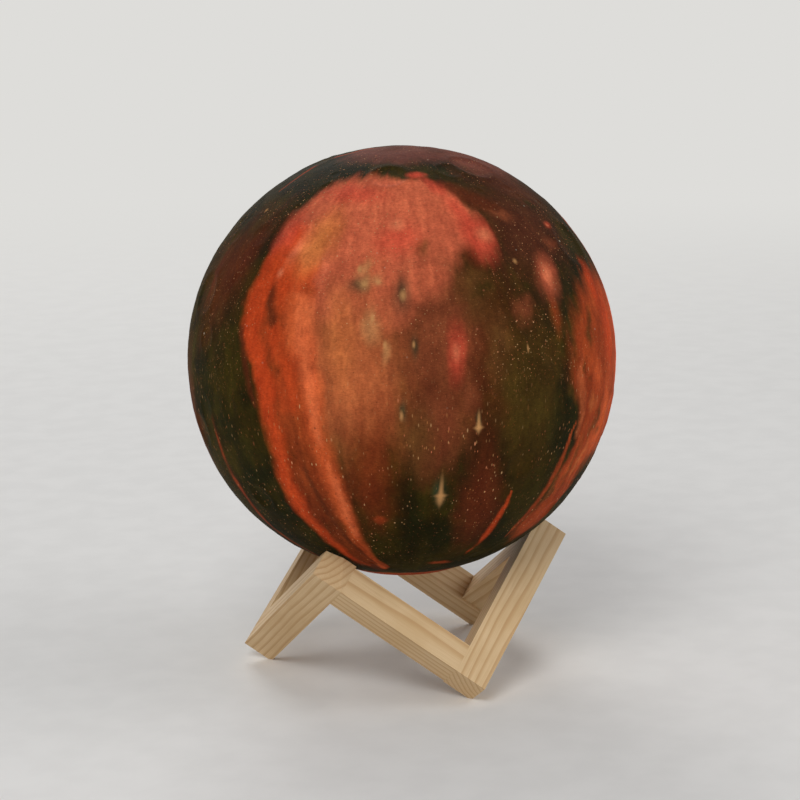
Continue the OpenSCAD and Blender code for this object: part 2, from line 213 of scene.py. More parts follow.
def make_floor():
    """Flat pale floor that fades, to the camera, into an even pale backdrop."""
    m = Graph("pale_floor")
    p = m.place()
    shade = m.mix(m.smooth(m.noise(p, 60, 4), 0.3, 0.7), *FLOOR_TONES)
    m.set(Base_Color=shade, Roughness=0.7, Specular_IOR_Level=0.3)
    paper = m.node("ShaderNodeEmission")
    paper.inputs["Color"].default_value = BACKDROP
    path = m.node("ShaderNodeLightPath")
    far = m.smooth(m.vector("LENGTH", p), *FADE)
    blend = m.node("ShaderNodeMixShader")
    m.join(m.maths("MULTIPLY", far, path.outputs["Is Camera Ray"]), blend.inputs[0])
    m.join(m.bsdf.outputs[0], blend.inputs[1])
    m.join(paper.outputs[0], blend.inputs[2])
    m.join(blend.outputs[0], m.out.inputs["Surface"])
    bpy.ops.mesh.primitive_plane_add(size=FLOOR_SIZE, location=(0, 0, 0))
    floor = bpy.context.object
    floor.name = "floor"
    floor.data.materials.append(m.mat)


def make_lights():
    for name, (at, size, power) in LIGHTS.items():
        data = bpy.data.lights.new(name, "AREA")
        data.shape = "DISK"
        data.size = size
        data.energy = power
        lamp = bpy.data.objects.new(name, data)
        lamp.location = at
        lamp.rotation_euler = (LIGHT_TARGET - Vector(at)).to_track_quat("-Z", "Y").to_euler()
        scene.collection.objects.link(lamp)


def make_world():
    """Even light from all round, which the camera and glossy surfaces see as the backdrop."""
    world = bpy.data.worlds.new("studio")
    world.use_nodes = True
    nodes = world.node_tree.nodes
    links = world.node_tree.links
    path = nodes.new("ShaderNodeLightPath")
    seen = nodes.new("ShaderNodeMath")
    seen.operation = "MAXIMUM"
    links.new(path.outputs["Is Camera Ray"], seen.inputs[0])
    links.new(path.outputs["Is Glossy Ray"], seen.inputs[1])
    tone = nodes.new("ShaderNodeMix")
    tone.data_type = "RGBA"
    tone.inputs["A"].default_value = WORLD_LIGHT
    tone.inputs["B"].default_value = BACKDROP
    links.new(seen.outputs[0], tone.inputs["Factor"])
    links.new(tone.outputs["Result"], nodes["Background"].inputs["Color"])
    scene.world = world
    scene.view_settings.view_transform = "Standard"


# ---------------------------------------------------------------- seamless noise

LATTICE = 256
# stretches the noise to about -1 to 1
NOISE_SPREAD = 1.6
# shift from one octave to the next, so that their lattices don't line up
LAYER_SHIFT = 17.3
RIDGE_SHIFT = 9.1


class Noise:
    """Smooth noise in space from random gradients on a lattice, about -1 to 1."""

    def __init__(self, seed):
        rng = np.random.default_rng(seed)
        self.order = np.tile(rng.permutation(LATTICE), 3)
        slopes = rng.normal(size=(LATTICE, 3))
        self.slopes = slopes / np.linalg.norm(slopes, axis=1, keepdims=True)

    def plain(self, points):
        """One octave."""
        cell = np.floor(points).astype(int)
        part = points - cell
        cell %= LATTICE
        fade = part ** 3 * (part * (part * 6 - 15) + 10)
        total = 0.0
        for corner in np.ndindex(2, 2, 2):
            at = cell + corner
            pick = self.order[self.order[self.order[at[:, 0]] + at[:, 1]] + at[:, 2]]
            slope = np.einsum("ij,ij->i", self.slopes[pick], part - corner)
            share = np.prod(np.where(corner, fade, 1 - fade), axis=1)
            total = total + share * slope
        return NOISE_SPREAD * total

    def layers(self, points, scale, octaves, gain=0.5):
        """Several octaves, each finer and weaker by gain."""
        total, size, weight = 0.0, 1.0, 0.0
        for k in range(octaves):
            total = total + size * self.plain(points * scale * 2 ** k + LAYER_SHIFT * k)
            weight += size
            size *= gain
        return total / weight ** 0.5

    def ridges(self, points, scale, octaves, gain):
        """Thin bright crests, 0 to about 1."""
        total, size, weight = 0.0, 1.0, 0.0
        for k in range(octaves):
            crest = 1 - np.abs(self.plain(points * scale * 2 ** k + RIDGE_SHIFT * k)) * 2
            total = total + size * np.clip(crest, 0, 1) ** 2
            weight += size
            size *= gain
        return total / weight


def step(value, low, high):
    """Smooth step from 0 at low to 1 at high."""
    t = np.clip((value - low) / (high - low), 0, 1)
    return t * t * (3 - 2 * t)


# ---------------------------------------------------------------- globe shade: shape

SHELL_WALL = 1.8 * MM
# points round the shade, rows of them down its outside and up its inside
AROUND = 600
DOWN = 300
INSIDE_ROWS = 60
# opening at the foot: radii of the rim, the rebate and the neck, and heights over the rim
RIM_R = 21.0 * MM
REBATE_R = 19.7 * MM
NECK_IN = 18.4 * MM
NECK_OUT = 19.9 * MM
LEDGE = 1.8 * MM
NECK_H = 8.0 * MM
RIM_SOFT = 0.25 * MM
# the relief fades out over this many degrees above the rim
CALM_BAND = 4
SHARP_ANGLE = math.radians(40)

# middle and limits of the relief, under the globe's full radius
RELIEF_MIDDLE = -0.45 * MM
RELIEF_TOP = -0.02 * MM
RELIEF_LOW = -1.15 * MM
# height of the broad hills and of the small bumps, in mm
HILL_H = 0.42
BUMP_H = 0.16
# small craters: how many, least and largest radius in mm
SMALL_CRATERS = 260
SMALL_R = 1.4
SMALL_R_MOST = 4.5
# share of the solid model's depth that the larger craters keep
LARGE_SHARE = 0.8
# crater's lip: height as a share of the depth, place and width as shares of the radius
LIP_H = 0.45
LIP_AT = 1.05
LIP_W = 0.22
# share of the light that each millimetre of height above the mean takes away
LIGHT_PER_MM = 0.45

# The larger craters, as in the solid model: longitude, latitude, half width and depth in mm.
CRATERS = [
    (-20, 30, 8, 0.79), (15, 10, 6.5, 0.71), (42, 36, 9, 0.9), (-50, 5, 5, 0.6),
    (-64, 42, 7, 0.75), (5, -18, 5.5, 0.6), (48, -12, 7.5, 0.79), (-98, -14, 6.5, 0.71),
    (-100, 22, 8, 0.79), (70, 15, 5.5, 0.6), (84, -25, 7, 0.75), (102, 32, 9, 0.9),
    (120, -5, 6, 0.64), (142, 50, 7.5, 0.79), (150, 12, 8.5, 0.86), (165, -25, 5.5, 0.6),
    (-170, 32, 6.5, 0.71), (-150, -8, 9, 0.9), (-135, 40, 6, 0.64), (-125, -28, 5.5, 0.6),
    (-75, -30, 5, 0.6), (-35, 66, 6.5, 0.71), (32, 68, 8, 0.79), (110, 70, 6, 0.64),
    (-120, 68, 7, 0.75), (-30, -36, 5, 0.6), (28, -38, 4.5, 0.56),
]


def direction(lon, lat):
    """Unit vector from the globe's centre towards a longitude and latitude in degrees."""
    lon, lat = np.radians(lon), np.radians(lat)
    return np.stack([np.sin(lon) * np.cos(lat), -np.cos(lon) * np.cos(lat), np.sin(lat)], -1)


def crater_list():
    """Centre, angular radius in radians and depth in metres of every crater."""
    rng = np.random.default_rng(SEED)
    z = rng.uniform(-0.9, 1, SMALL_CRATERS)
    lon = rng.uniform(-180, 180, SMALL_CRATERS)
    centres = direction(lon, np.degrees(np.arcsin(z)))
    radius = SMALL_R * (1 - rng.uniform(0, 1, SMALL_CRATERS)) ** -0.5
    radius = np.minimum(radius, SMALL_R_MOST) * MM
    depth = 0.06 * MM + 0.05 * radius * rng.uniform(0.6, 1.2, SMALL_CRATERS)
    large = np.array(CRATERS, dtype=float)
    centres = np.concatenate([direction(large[:, 0], large[:, 1]), centres])
    radius = np.concatenate([large[:, 2] * MM, radius])
    depth = np.concatenate([LARGE_SHARE * large[:, 3] * MM, depth])
    return centres, radius / GLOBE_R, depth


def relief(dirs):
    """Height of the outside over the globe's full radius, never above it."""
    hills = Noise(SEED)
    height = HILL_H * hills.layers(dirs, 1.7, 2) + BUMP_H * hills.layers(dirs, 9.0, 4, 0.6)
    height *= MM
    centres, radii, depths = crater_list()
    for c, r, d in zip(centres, radii, depths):
        near = dirs @ c > math.cos(2.2 * r)
        x = np.arccos(np.clip(dirs[near] @ c, -1, 1)) / r
        bowl = -np.clip(1 - x ** 2, 0, 1) ** 0.8 * d
        lip = LIP_H * d * np.exp(-((x - LIP_AT) / LIP_W) ** 2)
        height[near] += bowl + lip
    level = RELIEF_MIDDLE + height
    # soft limits: nothing above the full radius, nothing deeper than most of the wall
    middle, half = (RELIEF_TOP + RELIEF_LOW) / 2, (RELIEF_TOP - RELIEF_LOW) / 2
    return middle + half * np.tanh((level - middle) / half * 1.1)


def shade_points():
    """Points of the shell from its top down the outside, through the foot and up the inside.

    The directions and heights of the rows outside come with them.
    """
    inner_r = GLOBE_R - SHELL_WALL
    rim_z = BASE_Z - GLOBE_C.z
    rim_angle = math.acos(rim_z / GLOBE_R)
    lons = np.arange(AROUND) * 2 * math.pi / AROUND
    circle = np.stack([np.sin(lons), -np.cos(lons)], -1)

    def ring(r, z):
        return np.column_stack([circle * r, np.full(AROUND, z)])

    polar = rim_angle * np.arange(1, DOWN + 1) / DOWN
    dirs = np.concatenate([ring(math.sin(t), math.cos(t)) for t in polar])
    height = relief(dirs)
    lat = np.degrees(np.arcsin(np.clip(dirs[:, 2], -1, 1)))
    calm = np.clip((lat - math.degrees(math.pi / 2 - rim_angle)) / CALM_BAND, 0, 1)
    outside = dirs * (GLOBE_R + height * calm)[:, None]
    foot = [ring(r, z) for r, z in (
        (RIM_R - RIM_SOFT, rim_z), (REBATE_R + RIM_SOFT, rim_z), (REBATE_R, rim_z + RIM_SOFT),
        (REBATE_R, rim_z + LEDGE), (NECK_IN, rim_z + LEDGE), (NECK_IN, rim_z + NECK_H),
        (NECK_OUT, rim_z + NECK_H))]
    join = math.asin(NECK_OUT / inner_r)
    inside = [ring(inner_r * math.sin(t), inner_r * math.cos(t))
              for t in np.linspace(math.pi - join, 0, INSIDE_ROWS, endpoint=False)]
    top = np.array([[0, 0, GLOBE_R + RELIEF_MIDDLE]])
    roof = np.array([[0, 0, inner_r]])
    points = np.concatenate([top, outside, *foot, *inside, roof]) + np.array(GLOBE_C)
    return points, dirs, height


def shade_faces(last):
    """Fan round point 0, quads between the rows of points, and a fan round the last point."""
    end = last - AROUND
    pairs = [(k, (k + 1) % AROUND) for k in range(AROUND)]
    faces = [(0, 1 + i, 1 + j) for i, j in pairs]
    for a in range(1, end, AROUND):
        b = a + AROUND
        faces += [(a + i, b + i, b + j, a + j) for i, j in pairs]
    faces += [(end + i, last, end + j) for i, j in pairs]
    return faces


def make_shade():
    """Closed shell: relief outside, flat rim, stepped opening, neck and smooth inside."""
    points, dirs, height = shade_points()
    mesh = bpy.data.meshes.new("printed_globe")
    mesh.from_pydata(points.tolist(), [], shade_faces(len(points) - 1))
    mesh.update()
    mesh.polygons.foreach_set("use_smooth", [True] * len(mesh.polygons))
    mesh.set_sharp_from_angle(angle=SHARP_ANGLE)
    tints = np.tile(np.array(RUST), (len(points), 1))
    tints[0, :3] = painted(np.array([[0, 0, 1.0]]))[0]
    # the thin floors of the craters let a little more light through than the thick hills
    thin = 1 - LIGHT_PER_MM * (height - height.mean()) / MM
    tints[1:1 + len(dirs), :3] = painted(dirs) * thin[:, None]
    mesh.color_attributes.new("print", "FLOAT_COLOR", "POINT")
    mesh.color_attributes["print"].data.foreach_set("color", tints.ravel())
    mesh.materials.append(print_material())
    mesh.materials.append(lining_material())
    # the outside's faces come first
    lined = np.arange(len(mesh.polygons)) >= AROUND * DOWN
    mesh.polygons.foreach_set("material_index", lined.astype(np.int32))
    shade = bpy.data.objects.new("printed_globe", mesh)
    scene.collection.objects.link(shade)
    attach(shade, "globe")
    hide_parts("globe_shade")


# ---------------------------------------------------------------- globe shade: print

OLIVE = srgb(46, 37, 7)
DEEP_GREEN = srgb(26, 25, 6)
MOSS = srgb(86, 54, 24)
KHAKI = srgb(62, 47, 14)
ORANGE_RED = srgb(176, 62, 26)
ORANGE = srgb(182, 78, 38)
RUST = srgb(140, 56, 24)
BURNT = srgb(104, 42, 17)
SALMON = srgb(190, 92, 62)
AMBER = srgb(196, 110, 58)
BRIGHT = srgb(204, 100, 58)
TAN = srgb(168, 88, 50)
BROWN = srgb(126, 64, 38)
BROWN_RED = srgb(84, 36, 16)
DUSK = srgb(78, 38, 22)
MAUVE = srgb(104, 56, 44)
PINK_RED = srgb(196, 74, 52)
PALE = srgb(208, 114, 78)
STAR = srgb(182, 132, 82)
TEAL = srgb(40, 54, 36)
GOLD = srgb(156, 104, 54)
CREAM = srgb(206, 164, 116)
ROSE = srgb(200, 110, 78)
FROST = srgb(176, 180, 160)
DARK = srgb(40, 22, 8)
DUST = srgb(150, 76, 40)
DARK_DUST = srgb(30, 18, 6)

# how far a line's ellipse reaches from its middle: share of its length, and of its half width
LINE_REACH = 0.62
LINE_CAP = 0.5
# an ellipse ends this far below the surface, in globe radii
ELLIPSE_DEPTH = 0.9
# tallest ellipse: half height in degrees
TALLEST = 80
# distance that counts as outside every shape
OUTSIDE = 9.0
# how far the coarse noise, the fine noise and the tongues push a shape, in globe radii
PUSH = 0.085, 0.034, 0.034
# how far streaks fray a soft edge, and the share of that which a crisp edge keeps
FRAY = 0.16
FRAY_LEAST = 0.2
# unevenness of clouds, streaks, wisps and strands in the finished print
CLOUDY = 0.22
STREAKY = 0.20
WISPY = 0.86, 0.34
STRANDY = -0.14, 0.40
# green and blue vary a little more than red
VARY_POWERS = np.array([0.9, 1.15, 1.1])


def spot(lon, lat, half_w, half_h):
    """Upright ellipse on the globe: its middle, half width and half height in degrees."""
    return (lon, lat, half_w, half_h, 0.0)


def line(lon_a, lat_a, lon_b, lat_b, half_w):
    """Slanted ellipse from one point to another, a little longer than the two are apart."""
    a = Vector(direction(lon_a, lat_a))
    b = Vector(direction(lon_b, lat_b))
    middle = (a + b).normalized()
    lon = math.degrees(math.atan2(middle.x, -middle.y))
    lat = math.degrees(math.asin(middle.z))
    east = Vector((0, 0, 1)).cross(middle).normalized()
    north = middle.cross(east)
    along = b - a
    slant = math.degrees(math.atan2(-along.dot(east), along.dot(north)))
    half_h = LINE_REACH * math.degrees(a.angle(b)) + LINE_CAP * half_w
    return (lon, lat, half_w, half_h, slant)


def ribbon(*knots):
    """Band through several points: longitude, latitude and half width of each in degrees."""
    return knots


# The print, painted in order: colour, strength, softness of the edge (0 crisp, 1 soft), how
# far the noise bends it, and the ellipses and ribbons that make up its shape.
PAINT = [
    # brown haze and the dusky top
    (BROWN_RED, 0.8, 1.0, 1.0, [spot(-14, 12, 42, 48), spot(-90, 30, 20, 30)]),
    (DUSK, 0.9, 0.9, 1.0, [spot(18, 44, 20, 26), spot(36, 58, 22, 22),
                           spot(-150, 20, 30, 40)]),
    (MAUVE, 0.95, 0.55, 0.9, [spot(0, 84, 20, 15), spot(70, 72, 22, 16),
                              spot(-100, 84, 9, 9)]),
    (DUSK, 0.7, 1.0, 1.0, [spot(50, 80, 9, 5), spot(-60, 88, 8, 6)]),
    (OLIVE, 0.8, 0.6, 0.5, [line(-52, 70, 4, 64, 2.6)]),
    (KHAKI, 0.85, 0.8, 0.9, [spot(6, 0, 13, 30), spot(100, 0, 13, 50)]),
    # great cloud
    (SALMON, 1.0, 0.2, 0.4, [spot(-40, 42, 26.5, 26), spot(-26, 50, 21, 16)]),
    (SALMON, 1.0, 0.4, 0.8, [spot(150, 32, 34, 27), spot(76, 26, 18, 26)]),
    (TAN, 0.95, 0.8, 0.8, [spot(-40, 8, 19, 36), spot(150, 4, 26, 34)]),
    (BROWN, 0.85, 1.0, 0.9, [spot(-19, 18, 15, 30), spot(-20, -6, 13, 20)]),
    (MOSS, 0.85, 1.0, 1.0, [spot(-8, 28, 9, 14), spot(-3, 14, 7, 16), spot(-22, 39, 4, 5)]),
    # orange column on the left: a brown bed, then its red outer side
    (BURNT, 0.95, 0.6, 0.5, [line(-57, 8, -55, -14, 9), line(-56, -12, -52, -38, 8),
                             line(-52, -34, -44, -60, 6)]),
    (RUST, 0.8, 1.0, 0.5, [line(-57, 6, -54, -24, 7)]),
    (RUST, 0.95, 0.7, 0.4, [spot(-62, 20, 12, 22), spot(-58, 0, 8, 14),
                            spot(128, -12, 10, 30)]),
    (ORANGE_RED, 1.0, 0.7, 0.5, [
        ribbon((-66, 44, 4), (-70, 30, 5), (-70, 16, 5), (-64, 2, 4)),
        spot(-60, 30, 8, 12), spot(128, 12, 12, 34), spot(66, 0, 15, 30)]),
    (PINK_RED, 0.75, 0.9, 0.5, [spot(-70, 44, 6, 10), spot(-30, 43, 10, 9),
                                spot(-50, 58, 12, 5), spot(150, 46, 12, 9)]),
    (AMBER, 1.0, 0.9, 0.35, [line(-53, 51, -59, 32, 7), spot(138, 36, 7, 13),
                             spot(72, 22, 6, 14)]),
    (AMBER, 0.5, 1.0, 0.6, [line(-45, 26, -42, 2, 6)]),
    (BRIGHT, 0.9, 0.9, 0.4, [line(-58, 28, -51, 4, 6), line(120, 20, 124, -4, 5)]),
    (RUST, 0.7, 1.0, 0.3, [spot(-54.9, 27.5, 3, 2.6)]),
    # far side, between the two clouds, and the second cloud's right flank
    (BROWN_RED, 0.85, 1.0, 1.0, [spot(-140, 6, 22, 44), spot(-108, -14, 12, 30)]),
    (BROWN, 0.6, 1.0, 1.0, [spot(-146, 18, 11, 24), spot(-134, -14, 8, 20)]),
    (RUST, 0.8, 1.0, 0.7, [spot(-130, 12, 5, 18), line(-152, 26, -148, -16, 4),
                           line(-120, -8, -112, -44, 4)]),
    (BROWN, 0.75, 1.0, 1.0, [spot(84, 20, 9, 16), spot(88, -8, 6, 18)]),
    (PINK_RED, 0.7, 1.0, 0.5, [spot(72, 42, 9, 6), spot(66, 20, 4, 8)]),
    (ORANGE_RED, 0.7, 1.0, 0.5, [line(-136, 0, -128, -40, 3.4),
                                 line(-150, 34, -146, 12, 3)]),
    # lower middle
    (BURNT, 0.9, 0.9, 0.7, [spot(-37, -18, 11, 28), spot(168, -20, 12, 30)]),
    (MOSS, 0.8, 1.0, 0.5, [spot(-25, -8, 7, 13)]),
    (BROWN_RED, 1.0, 0.8, 0.5, [line(-7, -12, -3, -46, 9), spot(-170, -24, 10, 30)]),
    (DEEP_GREEN, 0.9, 0.9, 0.4, [line(-26.5, -16, -25, -58, 5.5),
                                 line(-16.5, -30, -17, -56, 3.4),
                                 line(140, -8, 142, -60, 5)]),
    # the column's two streaks, which run down to the base with brown between them
    (ORANGE_RED, 0.9, 0.9, 0.4, [
        ribbon((-71, 24, 4), (-69.5, 14, 4.4), (-65, 3, 4), (-62.8, -10, 3.8),
               (-61.8, -22, 3.4), (-59.6, -34, 3), (-55, -47, 2.4), (-48, -58, 1.6)),
        ribbon((118, 28, 5), (117, 8, 5.5), (121, -12, 5), (128, -32, 4), (140, -56, 2.4)),
        line(58, -14, 50, -46, 4.5)]),
    (ORANGE, 0.95, 0.9, 0.35, [
        ribbon((-60, 26, 3), (-55, 14, 4.8), (-52, 4, 5), (-50.2, -6, 4.8),
               (-48.4, -16, 4.6), (-47, -28, 4), (-45, -40, 3.2), (-41, -54, 2),
               (-38, -60, 1.4)),
        ribbon((126, 24, 3.5), (125, 4, 5), (130, -16, 4.6), (139, -38, 3.4), (150, -56, 2))]),
    (BRIGHT, 0.75, 1.0, 0.4, [
        ribbon((-58, 26, 2.4), (-53.8, 12, 3.6), (-51, 0, 3), (-49, -10, 2)),
        ribbon((-48, -16, 1.6), (-46.6, -28, 2.4), (-44.6, -40, 1.6))]),
    (ORANGE_RED, 0.85, 1.0, 0.5, [ribbon((-63, 17, 4), (-58.5, 8, 5), (-57.5, -1, 4))]),
    (BROWN_RED, 0.85, 1.0, 0.4, [
        ribbon((-66.6, 28, 1.4), (-65.6, 24, 2.6), (-63.6, 19, 1.8)),
        ribbon((-73.6, 16, 1.6), (-71.4, 6, 2.4), (-68.4, -3, 1.4))]),
    (BROWN_RED, 0.45, 1.0, 0.2, [ribbon((-59, 4, 1.6), (-56.6, -6, 2.8), (-55, -18, 2.2)),
                                 ribbon((122, 6, 1.6), (125, -10, 2.8), (132, -32, 2))]),
    (BROWN_RED, 0.9, 0.9, 0.12, [
        ribbon((-55, -18, 1), (-52.6, -27, 1.5), (-50, -37, 1.3), (-45, -49, 1),
               (-41, -56, 0.8)),
        ribbon((132, -30, 1), (138, -42, 1.4), (147, -56, 0.8))]),
    (RUST, 1.0, 0.8, 0.15, [ribbon((-46, -42, 1), (-41, -52, 1.2), (-36, -59, 1))]),
    # right edge: orange mottled with olive
    (RUST, 1.0, 0.3, 0.7, [spot(43, 2, 26, 29), line(32, -14, 22, -44, 8)]),
    (ORANGE_RED, 0.9, 0.8, 0.3, [line(43, 30, 40, 18, 4), line(46, 22, 44, 2, 7),
                                 spot(60, 4, 14, 26)]),
    (TAN, 0.8, 1.0, 0.9, [spot(68, 8, 9, 18), spot(58, -14, 5, 10)]),
    (BRIGHT, 0.7, 1.0, 0.6, [ribbon((60, 26, 2), (57, 10, 3.6), (56, -6, 3), (52, -24, 2))]),
    (BROWN_RED, 0.7, 1.0, 0.7, [
        ribbon((64, 20, 1), (63, 4, 2.4), (60, -14, 2), (56, -34, 1.4)), spot(74, -6, 4, 8)]),
    (PALE, 0.6, 1.0, 0.2, [spot(70, 16, 2.4, 4), spot(66, 3, 1.4, 4)]),
    (ORANGE, 0.85, 1.0, 0.8, [spot(34, 2, 6, 10), line(41, -2, 36, -26, 5),
                              line(29, -12, 25, -30, 2.4), line(26, 10, 24, -6, 2)]),
    (KHAKI, 0.7, 0.9, 1.5, [spot(20, -2, 2.4, 6), line(30, -16, 25, -32, 3),
                            spot(33, 13, 3, 5), line(21, -22, 17, -40, 2.6),
                            spot(36, -12, 2.4, 7), spot(27, 2, 2.4, 4)]),
    (AMBER, 0.5, 1.0, 1.2, [spot(30, -6, 4, 5), line(36, -16, 30, -32, 2)]),
    (TAN, 0.6, 1.0, 0.7, [ribbon((25, 8, 2), (24, -4, 3), (25, -14, 2))]),
    (RUST, 0.9, 0.7, 0.3, [
        ribbon((23, -8, 0.2), (20, -22, 1.5), (17, -32, 1.4), (13, -46, 0.3)),
        ribbon((29, -16, 0.2), (25, -30, 1.5), (18, -48, 0.4))]),
    # thin lines, and haze at the left edge
    (BROWN_RED, 0.8, 1.0, 0.3, [ribbon((-88.4, -8, 0.8), (-86.8, -24, 2.2), (-85.4, -44, 2),
                                       (-73, -61, 1.2))]),
    (RUST, 0.9, 1.0, 0.3, [ribbon((-88.4, -10, 0.5), (-86.8, -24, 1.2), (-85.4, -42, 1),
                                  (-73, -61, 0.5))]),
    (RUST, 1.0, 0.7, 0.08, [ribbon((-101, 55, 0.5), (-108, 70, 1), (-131, 82, 0.9))]),
    (BROWN_RED, 0.7, 1.0, 0.6, [spot(-84, 34, 6, 13), spot(-99, 27, 3.6, 12)]),
    # dusk over the great cloud's right shoulder, mottled with olive
    (BROWN_RED, 0.9, 0.8, 0.3, [
        ribbon((-12, 63, 2), (-3, 60.5, 3.6), (5, 56, 4.6), (12, 51, 4)),
        line(-8, 40, -2, 34, 3)]),
    (OLIVE, 0.75, 1.0, 1.3, [ribbon((6, 62, 1.4), (24, 55, 2.6), (34, 48, 2)),
                             spot(-4, 30, 5, 3), spot(10, 27, 3, 3), spot(24, 30, 2, 6)]),
    (BROWN, 0.7, 1.0, 0.9, [spot(14, 47, 4, 3), spot(26, 38, 4, 4), spot(8, 21, 4, 6),
                            spot(-11, 1, 4, 9)]),
    # red and salmon lobes
    (PINK_RED, 0.8, 1.0, 0.35, [line(-16, 65.5, -5, 56, 2.6), line(-6, 57, -1, 48, 3.4)]),
    (PINK_RED, 0.95, 0.8, 0.35, [line(-2, 49, 0.5, 37, 6.4), spot(-17.4, 66.1, 3.6, 2.4)]),
    (RUST, 0.6, 1.0, 0.3, [line(18.6, 26, 17.6, 14, 2.6)]),
    (PINK_RED, 0.75, 1.0, 0.3, [line(-14, 20, -14.6, 6, 3.8)]),
    (SALMON, 0.85, 1.0, 0.3, [line(20.8, 34, 18.6, 24, 5.4), spot(170, 30, 4, 7)]),
    (PALE, 0.9, 1.0, 0.1, [spot(1.8, 42.9, 3.4, 3.6), spot(-29.6, 47.6, 3.4, 3.2)]),
    (PINK_RED, 0.7, 1.0, 0.2, [spot(34.2, 42.7, 1.8, 1.6)]),
    (PALE, 0.7, 1.0, 0.1, [spot(-14.2, 13, 1.5, 3.6), spot(19.8, 29.6, 2.2, 4.4),
                           spot(-149, 22, 2, 4), spot(-129, 12, 1.4, 4),
                           spot(152, 36, 2.4, 3), spot(34.2, 42.7, 0.7, 0.8),
                           spot(-66, 32, 1.4, 1.8)]),
    (ORANGE_RED, 0.9, 0.7, 0.2, [ribbon((4.2, -26, 0.2), (3.4, -34, 1.6), (2.2, -42, 1.4),
                                        (-2, -56, 0.3))]),
    (RUST, 0.9, 0.7, 0.3, [line(-15, -55.5, -5, -57, 1.5), spot(-35.4, -33, 2.6, 2)]),
    # star clusters with dark halos
    (TEAL, 0.75, 1.0, 0.3, [spot(162, 18, 3, 6), spot(146, 8, 2, 5), spot(-142, 2, 2.4, 6),
                            spot(-27.5, 27.5, 3.2, 6.4), spot(-24.9, 15, 1.6, 4.4),
                           spot(-40, 30, 4.5, 3.6), spot(-28.2, -1, 1.3, 5),
                           spot(-8.7, -5, 1.3, 4), spot(-17.6, -24, 2.8, 7)]),
    (STAR, 0.6, 1.0, 0.5, [spot(156, 22, 3, 5), spot(150, 14, 2, 4), spot(-145, 6, 1.8, 4),
                           spot(-40.4, 34, 2.4, 3.4), spot(-38.4, 30.2, 2.8, 3),
                           spot(-34.4, 30.8, 2.6, 3), spot(-35.6, 20.5, 3.4, 6.6),
                           spot(-32, 14.7, 1.8, 4)]),
    # plain band round the foot of the globe
    (RUST, 1.0, 0.15, 0.05, [spot(0, -90, 23.5, 23.5)]),
]
# larger stars: longitude, latitude, half width and half height in degrees
STARS = [
    (-28.2, -2.6, 0.8, 2), (-8.7, -6.3, 1.2, 2.2), (-8.7, -5, 0.7, 4.2),
    (-8.7, -6.5, 1.9, 0.8), (-17.6, -26, 1.7, 3.4), (-17.6, -24, 0.9, 7),
    (-17.6, -25.2, 2.4, 0.9), (9.2, 34.5, 1, 1.2), (-93, 48.4, 0.9, 1), (6, 12, 0.5, 1.6),
    (-40.4, 34.2, 0.9, 1.5), (-38.4, 30.2, 1.1, 1.2), (-34.4, 30.8, 1.1, 1.2),
    (-35.6, 21.5, 0.8, 1.9), (-27.5, 27.3, 1.3, 2.2), (-24.9, 15, 0.6, 1.4),
    (-32.2, 15, 0.8, 1.7), (150, -12, 1, 3), (110, 22, 0.9, 1.2), (-160, 6, 1, 1.6),
    (162, 18, 1.2, 2.2), (156, 23, 1, 1.6), (-142, 2, 1, 2.2), (-112, -18, 0.8, 3.2),
]
# star specks, painted in order: half of the globe, cells to a globe radius, radius as a share
# of a cell, share of the cells that have one, and the two colours they lie between
SPECKS = [
    ("lower", 60.0, 0.20, 0.5, DARK, DARK),
    ("upper", 84.0, 0.24, 0.6, GOLD, ROSE),
    ("upper", 52.0, 0.19, 0.85, GOLD, CREAM),
    ("upper", 31.0, 0.14, 0.8, ROSE, CREAM),
    ("upper", 13.0, 0.09, 0.5, ROSE, FROST),
    ("lower", 80.0, 0.22, 0.5, GOLD, ROSE),
    ("lower", 50.0, 0.19, 0.75, GOLD, CREAM),
    ("lower", 30.0, 0.13, 0.7, ROSE, CREAM),
    ("lower", 13.0, 0.08, 0.5, ROSE, GOLD),
]
STAR_LEVEL = 0.7
# the ink's own colour in daylight, as a share of its colour when lit from inside
INK_SHARE = 0.30
GLOW_STRENGTH = 0.80


def off_ellipse(points, lon, lat, half_w, half_h, slant):
    """0 in the middle of an ellipse, 1 on its edge."""
    out = direction(lon, lat)
    east = np.array([math.cos(math.radians(lon)), math.sin(math.radians(lon)), 0])
    north = np.cross(out, east)
    turn = math.radians(slant)
    wide = east * math.cos(turn) + north * math.sin(turn)
    high = north * math.cos(turn) - east * math.sin(turn)
    x = points @ wide / math.sin(math.radians(half_w))
    y = points @ high / math.sin(math.radians(min(half_h, TALLEST)))
    z = (points @ out - 1) / ELLIPSE_DEPTH
    return np.sqrt(x * x + y * y + z * z)


def off_ribbon(points, *knots):
    """0 along the middle of a ribbon, 1 on its edge."""
    nearest = np.full(len(points), OUTSIDE)
    for (lon_a, lat_a, half_a), (lon_b, lat_b, half_b) in zip(knots, knots[1:]):
        a, b = direction(lon_a, lat_a), direction(lon_b, lat_b)
        share = np.clip((points - a) @ (b - a) / ((b - a) @ (b - a)), 0, 1)
        foot = a + share[:, None] * (b - a)
        foot /= np.linalg.norm(foot, axis=1, keepdims=True)
        half = np.radians(half_a + (half_b - half_a) * share)
        nearest = np.minimum(nearest, np.linalg.norm(points - foot, axis=1) / half)
    return nearest


